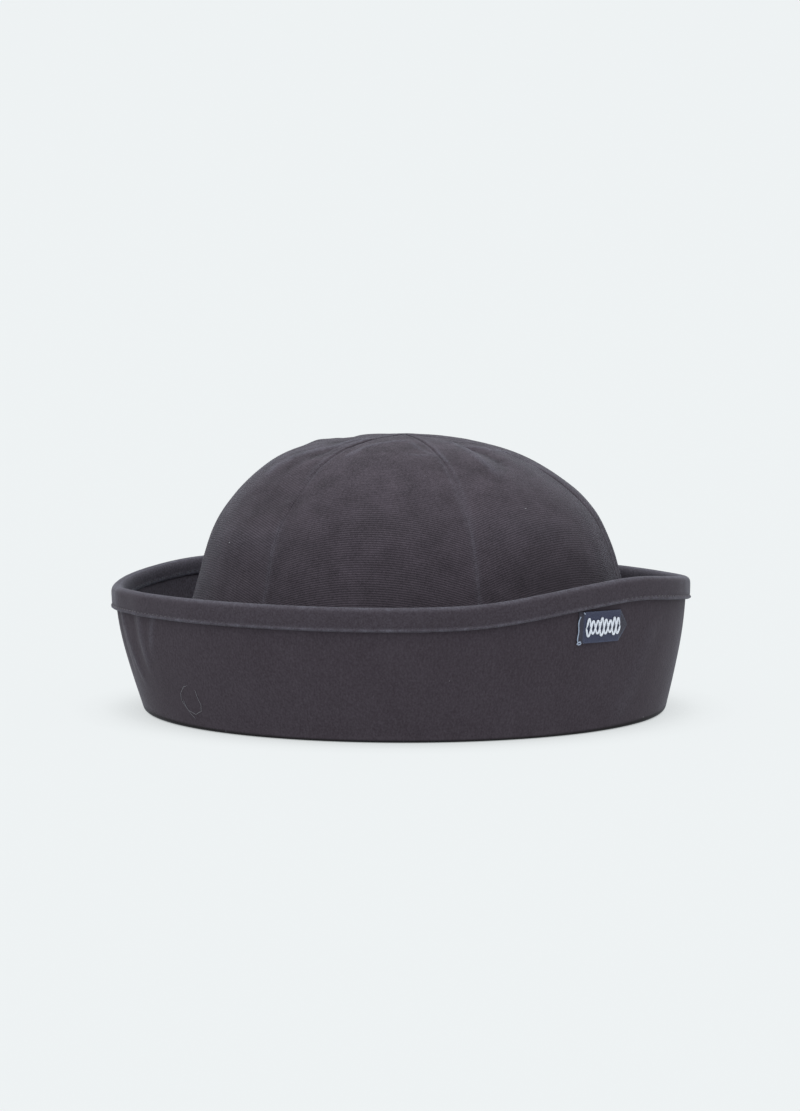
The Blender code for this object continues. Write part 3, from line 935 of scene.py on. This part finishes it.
def makeBinding(material):
    piece = copyOfNode("brim_binding", "bindingCloth")
    cage = meshPoints(piece)
    outerEdge = ringEdge(cage, True)
    innerEdge = ringEdge(cage, False)
    subdivide(piece, binding["smoothing"])
    points = meshPoints(piece)
    radius = radiusOf(points)
    azimuths = azimuthOf(points)
    normals, faceOut = facing(piece, points, radius)
    outerLeg, innerLeg = faceOut > 0.3, faceOut < -0.3
    aboveEdge = points[:, 2] - np.interp(azimuths, *outerEdge, period=360.0)
    aboveInner = points[:, 2] - np.interp(azimuths, *innerEdge, period=360.0)
    groove = bell(aboveEdge - binding["stitchAbove"], binding["grooveWidth"]) * outerLeg
    pinch = 1 + 0.30 * np.cos(2 * math.pi * np.radians(azimuths) * radius / binding["stitchPitch"])
    bead = bell(aboveEdge - binding["beadPlace"], binding["beadWidth"]) * outerLeg
    innerBead = bell(aboveInner - binding["beadPlace"], binding["innerBeadWidth"]) * innerLeg
    shift = -binding["grooveDepth"] * groove + binding["beadRise"] * (bead + 0.7 * innerBead) * pinch
    nap = np.zeros(len(points))
    for index, spot in enumerate(points):
        shift[index] += 0.10 * mm * noise.noise(Vector(spot) / (5 * mm)) * abs(faceOut[index])
        nap[index] = 1 + 0.8 * noise.noise(Vector(spot) / (3 * mm))
    # Painted highlights on the top fold and the inner bead, wear on the outer bead, painted light on the
    # inner leg.
    topHighlight = binding["topHighlight"] * bell(normals[:, 2] - 0.95, 0.35) * (faceOut > -0.6)
    beadWearAndHighlight = binding["beadWear"] * bead + binding["innerBeadHighlight"] * innerBead
    wearAndLight = np.maximum(beadWearAndHighlight * pinch, topHighlight) * nap + binding["innerLegLight"] * innerLeg
    lowInner = bell(np.maximum(aboveInner, 0.0), 1.8 * mm)
    lowInner = lowInner * (radius < np.interp(azimuths, *ringMiddle(cage), period=360.0))
    tuck = lowInner * np.where(faceOut < 0.1, binding["innerTuck"], 0.2 * mm)
    tucked = alongRadius(points, radius, tuck, -lowInner * binding["innerDrop"])
    movePoints(piece, points + normals * shift[:, None] + tucked)
    paintPoints(piece, "wearAndPaintedLight", np.clip(wearAndLight, 0.0, 1.0))
    finishPiece(piece, "brim_binding", material, sharp=60)
    return piece, outerEdge, innerEdge


bindingCotton = brushedMaterial("binding cotton", bindingFinish)
bindingPiece, outerEdge, innerEdge = makeBinding(bindingCotton)


threadFinish = {
    "roughness": 0.7,
    "sheen": 0.3,
    "sheenTint": (1.0, 1.0, 1.0),
    "sheenRoughness": 0.5,
    "twistScale": (3000, 3000, 3000),
}


def plainThread(name, colour):
    material, tree, shader = newMaterial(name, threadFinish)
    shade = remap(tree, clothNoise(tree, threadFinish["twistScale"], 2.0), 0.3, 0.7, 0.75, 1.15)
    tree.links.new(shadeBy(tree, (*colour, 1.0), shade), shader.inputs["Base Color"])
    return material


def oneStitch():
    # A short bead of thread: a thin cylinder with rounded, narrowed ends.
    bpy.ops.object.select_all(action="DESELECT")
    bpy.ops.mesh.primitive_cylinder_add(vertices=6, radius=0.5 * binding["stitchWidth"],
                                        depth=binding["stitchLength"] * 0.7, rotation=(0, math.pi / 2, 0))
    stitch = bpy.context.object
    bpy.ops.object.transform_apply(location=True, rotation=True, scale=True)
    editMode()
    bpy.ops.mesh.select_mode(type="FACE")
    for side in (-1, 1):
        selectAll("DESELECT")
        objectMode()
        for face in stitch.data.polygons:
            face.select = face.normal.x * side > 0.9
        editMode()
        bpy.ops.mesh.extrude_region_move(
            TRANSFORM_OT_translate={"value": (side * 0.15 * binding["stitchLength"], 0, -0.12 * mm)})
        bpy.ops.transform.resize(value=(1.0, 0.45, 0.45), center_override=(
            side * 0.5 * binding["stitchLength"], 0, -0.12 * mm))
    objectMode()
    return stitch


def stitchRow(name, edge, inside, material):
    stitch = oneStitch()
    girth = 2 * math.pi * binding["stitchReach"][inside]
    count = int(round(girth / binding["stitchPitch"]))
    above = binding["stitchAbove"] * (binding["innerAbove"] if inside else 1.0)
    step = 0.5      # degrees to each side, to see which way the edge runs
    copies = []
    for number in range(count):
        azimuth = -180 + 360.0 * (number + 0.5) / count
        spot, normal = onSurface(bindingPiece, azimuth, edgeHeight(edge, azimuth) + above, inside)
        reach = (spot - capMiddle).xy.length
        later, sooner = [capMiddle + outward(place) * reach + Vector((0, 0, edgeHeight(edge, place) + above))
                         for place in (azimuth + step, azimuth - step)]
        alongWay = (later - sooner).normalized()
        sideWay = normal.cross(alongWay).normalized()
        copy = stitch.copy()
        copy.data = stitch.data.copy()
        turn = Matrix((alongWay, sideWay, normal)).transposed().to_4x4()
        copy.data.transform(Matrix.Translation(spot - normal * binding["stitchSink"]) @ turn)
        scene.collection.objects.link(copy)
        copies.append(copy)
    bpy.data.objects.remove(stitch)
    pick(copies[0])
    for copy in copies:
        copy.select_set(True)
    bpy.ops.object.join()
    row = bpy.context.object
    row.name = name
    finishPiece(row, None, material, sharp=50)


bindingThread = plainThread("binding thread", (0.040, 0.035, 0.045))
stitchRow("bindingStitchesOutside", outerEdge, False, bindingThread)
stitchRow("bindingStitchesInside", innerEdge, True, bindingThread)
print("brim and binding are sewn")


# Label: a pointed navy ribbon with a raised field, a woven braid and the loose thread at its square end

label = {
    "length": 25 * mm,
    "height": 11.2 * mm,
    "columns": 70,
    "rows": 32,
    "point": 0.172,                # share of the length that the pointed end takes
    "gap": 0.15 * mm,              # between the brim and the ribbon
    "wall": 0.30 * mm,
    "field": (0.085, 0.825),       # the raised field, as shares of the length
    "fieldEdge": 0.014,
    "fieldRise": 0.42 * mm,
    "darkColour": (0.046, 0.045, 0.061, 1.0),
    "navyColour": (0.044, 0.050, 0.090, 1.0),
    "paleColour": (0.085, 0.100, 0.150, 1.0),
    "roughness": 0.75,
    "sheen": 0.10,
    "sheenTint": (0.8, 0.88, 1.0),
    "sheenRoughness": 0.4,
    "weavePitch": 0.42 * mm,
    "weaveBump": 0.06 * mm,
    "fuzzScale": (2400, 2400, 2400),
}


def labelEnds():
    # Azimuths of the label's two ends, its square end's lower and upper edge, and its point's height.
    points = meshPoints(nodes["label"])
    azimuths = azimuthOf(points)
    first, last = azimuths.min(), azimuths.max()
    square = points[azimuths < first + 0.3, 2]
    tip = points[azimuths > last - 0.3, 2]
    return first, last, square.min(), square.max(), tip.mean()


labelFirst, labelLast, labelLow, labelHigh, labelTip = labelEnds()


def onLabel(across, up, rise):
    # across runs from the square end to the point, up from the lower edge, rise out from the brim.
    azimuth = labelFirst + across * (labelLast - labelFirst)
    middle = 0.5 * (labelLow + labelHigh)
    height = middle + across * (labelTip - middle) + (up - 0.5) * (labelHigh - labelLow)
    spot, _ = onSurface(brimPiece, azimuth, height)
    return spot + outward(azimuth) * rise


def smoothStep(value, edge, width):
    share = min(max((value - edge) / width + 0.5, 0.0), 1.0)
    return share * share * (3 - 2 * share)


def labelMaterial():
    material, tree, shader = newMaterial("label ribbon", label)
    turn = 2 * math.pi * clothUnit / label["weavePitch"]
    weave = times(tree, *[calculate(tree, "SINE", times(tree, axis, turn)) for axis in clothAxes(tree)[:2]])
    fuzz = clothNoise(tree, label["fuzzScale"], 3.0)
    colour = mixColours(tree, painted(tree, "field"), label["darkColour"], label["navyColour"])
    shade = remap(tree, plus(tree, times(tree, weave, 0.35), fuzz), 0.1, 0.9, 0.60, 1.40)
    colour = shadeBy(tree, colour, shade)
    wearAndLight = times(tree, painted(tree, "wearAndPaintedLight"), remap(tree, fuzz, 0.35, 0.65, 0.3, 1.0))
    colour = mixColours(tree, wearAndLight, colour, label["paleColour"])
    tree.links.new(colour, shader.inputs["Base Color"])
    roughen(tree, shader, plus(tree, times(tree, weave, 0.6), fuzz), label["weaveBump"], 0.9)
    return material


def makeLabel(material):
    ribbon = newGrid("labelRibbon", label["columns"], label["rows"])
    grid = meshPoints(ribbon)
    points = np.empty_like(grid)
    field = np.empty(len(grid))
    wearAndPaintedLight = np.empty(len(grid))
    fieldStart, fieldEnd = label["field"]
    for index, (x, y, _) in enumerate(grid):
        across = 0.5 * (x + 1)
        narrowing = min((1 - across) / label["point"], 1.0)
        up = 0.5 + 0.5 * y * narrowing
        corner = 0.5 * label["height"] * (1 - abs(y)) + 0.6 * mm
        rounding = 0.010 * max(0.0, 1 - corner / (1.6 * mm)) ** 2
        inField = (smoothStep(across, fieldStart + rounding, label["fieldEdge"])
                   * (1 - smoothStep(across, fieldEnd - rounding, label["fieldEdge"])))
        curl = 0.14 * mm * math.sin(5.0 * across + 1.2) * abs(y)
        rise = label["gap"] + label["wall"] + label["fieldRise"] * inField + curl * inField
        points[index] = onLabel(across, up, rise)
        field[index] = inField
        edge = math.exp(-((across - fieldStart - 0.01) / 0.010) ** 2)
        tipEdge = (1 - inField) * (abs(y) > 0.80) * (across > 0.5) * (0.5 if y > 0 else 0.95)
        wearAndPaintedLight[index] = max(0.55 * edge * abs(y), tipEdge, 0.30 * inField * (abs(y) > 0.93))
    movePoints(ribbon, points)
    layCloth(ribbon, grid[:, :2] * 0.5 * np.array((label["length"], label["height"])))
    paintPoints(ribbon, "field", field)
    paintPoints(ribbon, "wearAndPaintedLight", wearAndPaintedLight)
    mergePoints(ribbon)
    faceOutward(ribbon)
    applyModifier(ribbon, "SOLIDIFY", thickness=label["wall"], offset=-1.0, use_rim=True)
    finishPiece(ribbon, "label", material, sharp=60)
    print(f"label: {len(ribbon.data.polygons)} faces")


makeLabel(labelMaterial())

motif = {
    "span": (0.120, 0.790),        # share of the label's length that the braid covers
    "middle": 0.50,
    "swing": 0.23,                 # share of the label's height
    "unevenness": 0.22,            # how much the swing changes along the braid
    "halfWaves": 8,
    "steps": 160,
    "threadWidth": 0.70 * mm,
    "lift": 0.26 * mm,             # the upper strand's extra height at a crossing
    "colour": (0.74, 0.78, 0.86),
}


def threadTube(name, route, width, sides, material):
    # A thread laid along a route of points, with narrowed ends, as a curve that is then made a mesh.
    curve = bpy.data.curves.new(name, "CURVE")
    curve.dimensions = "3D"
    curve.bevel_depth = 0.5 * width
    curve.bevel_resolution = sides
    curve.use_fill_caps = True
    spline = curve.splines.new("POLY")
    spline.points.add(len(route) - 1)
    for index, (point, spot) in enumerate(zip(spline.points, route)):
        point.co = (*spot, 1.0)
        toEnd = min(index, len(route) - 1 - index)
        point.radius = min(1.0, 0.45 + 0.25 * toEnd)
    piece = bpy.data.objects.new(name, curve)
    scene.collection.objects.link(piece)
    pick(piece)
    bpy.ops.object.convert(target="MESH")
    piece = bpy.context.object
    mergePoints(piece, turnOut=True)
    finishPiece(piece, None, material, sharp=60)


def makeMotif(material):
    # Two strands that wave past each other, over and under in turn.
    start, end = motif["span"]
    base = label["gap"] + label["wall"] + label["fieldRise"] + 0.5 * motif["threadWidth"] - 0.10 * mm
    for strand, side in (("labelBraidUpper", 1), ("labelBraidLower", -1)):
        route = []
        for step in range(motif["steps"] + 1):
            share = step / motif["steps"]
            turn = share * math.pi * motif["halfWaves"]
            swing = motif["swing"] * (1 + motif["unevenness"] * math.sin(0.62 * turn + 0.8))
            up = motif["middle"] + side * swing * math.sin(turn)
            over = side * motif["lift"] * math.cos(turn)
            route.append(onLabel(start + share * (end - start), up, base + 0.5 * motif["lift"] + 0.5 * over))
        threadTube(strand, route, motif["threadWidth"], 2, material)


paleThread = plainThread("label pale thread", motif["colour"])
makeMotif(paleThread)

looseThread = {
    "width": 0.42 * mm,
    "colour": (0.34, 0.40, 0.52),
    # Share of the label's length and height at each point, from its upper end down to the knot.
    "route": ((0.030, 0.86), (0.008, 0.78), (-0.006, 0.66), (-0.004, 0.54), (0.004, 0.42), (0.002, 0.30),
              (-0.006, 0.18), (-0.002, 0.08), (0.012, 0.015)),
    "knot": ((0.010, 0.02), (0.040, 0.055), (0.052, -0.01), (0.020, -0.035), (-0.012, -0.005), (0.020, 0.045),
             (0.050, 0.03)),
    "tuft": ((0.066, 0.985), (0.078, 0.955), (0.098, 0.935)),
}


def smoothRoute(corners, rise, steps=6):
    # A smooth run through a few places on the label.
    route = []
    for index in range(len(corners) - 1):
        before = corners[max(index - 1, 0)]
        start, end = corners[index], corners[index + 1]
        after = corners[min(index + 2, len(corners) - 1)]
        for step in range(steps + (index == len(corners) - 2)):
            t = step / steps
            across, up = [0.5 * (2 * s + (e - b) * t + (2 * b - 5 * s + 4 * e - a) * t * t
                                 + (3 * s - b - 3 * e + a) * t ** 3)
                          for b, s, e, a in zip(before, start, end, after)]
            route.append(onLabel(across, up, rise))
    return route


labelThreadMaterial = plainThread("label loose thread", looseThread["colour"])
for part, rise in (("route", 0.55 * mm), ("knot", 0.75 * mm), ("tuft", 1.0 * mm)):
    threadTube("labelThread" + part.title(), smoothRoute(looseThread[part], rise), looseThread["width"], 2,
               labelThreadMaterial)
print("label is sewn on")


# A curl of lint on the brim

lint = {
    "width": 0.15 * mm,
    "colour": (0.150, 0.150, 0.170),
    "rise": 0.10 * mm,
    # Azimuth and height in mm of each point, round the curl.
    "curl": ((-49.6, 16.6), (-50.9, 16.0), (-52.6, 13.2), (-52.9, 10.5), (-51.3, 7.1), (-49.1, 6.0),
             (-47.0, 7.5), (-46.6, 9.8), (-47.2, 12.8), (-47.5, 15.8)),
    "tail": ((-52.2, 11.0), (-51.9, 8.6), (-50.8, 6.0), (-49.3, 3.8)),
}


def lintRoute(corners, steps=6):
    route = []
    for index in range(len(corners) - 1):
        (startAzimuth, startHeight), (endAzimuth, endHeight) = corners[index], corners[index + 1]
        for step in range(steps):
            share = step / steps
            azimuth = startAzimuth + share * (endAzimuth - startAzimuth)
            height = (startHeight + share * (endHeight - startHeight)) * mm
            spot, _ = onSurface(brimPiece, azimuth, height)
            route.append(spot + outward(azimuth) * lint["rise"])
    return route


lintMaterial = plainThread("lint", lint["colour"])
threadTube("lintCurl", lintRoute(lint["curl"]), lint["width"], 1, lintMaterial)
threadTube("lintTail", lintRoute(lint["tail"]), lint["width"], 1, lintMaterial)
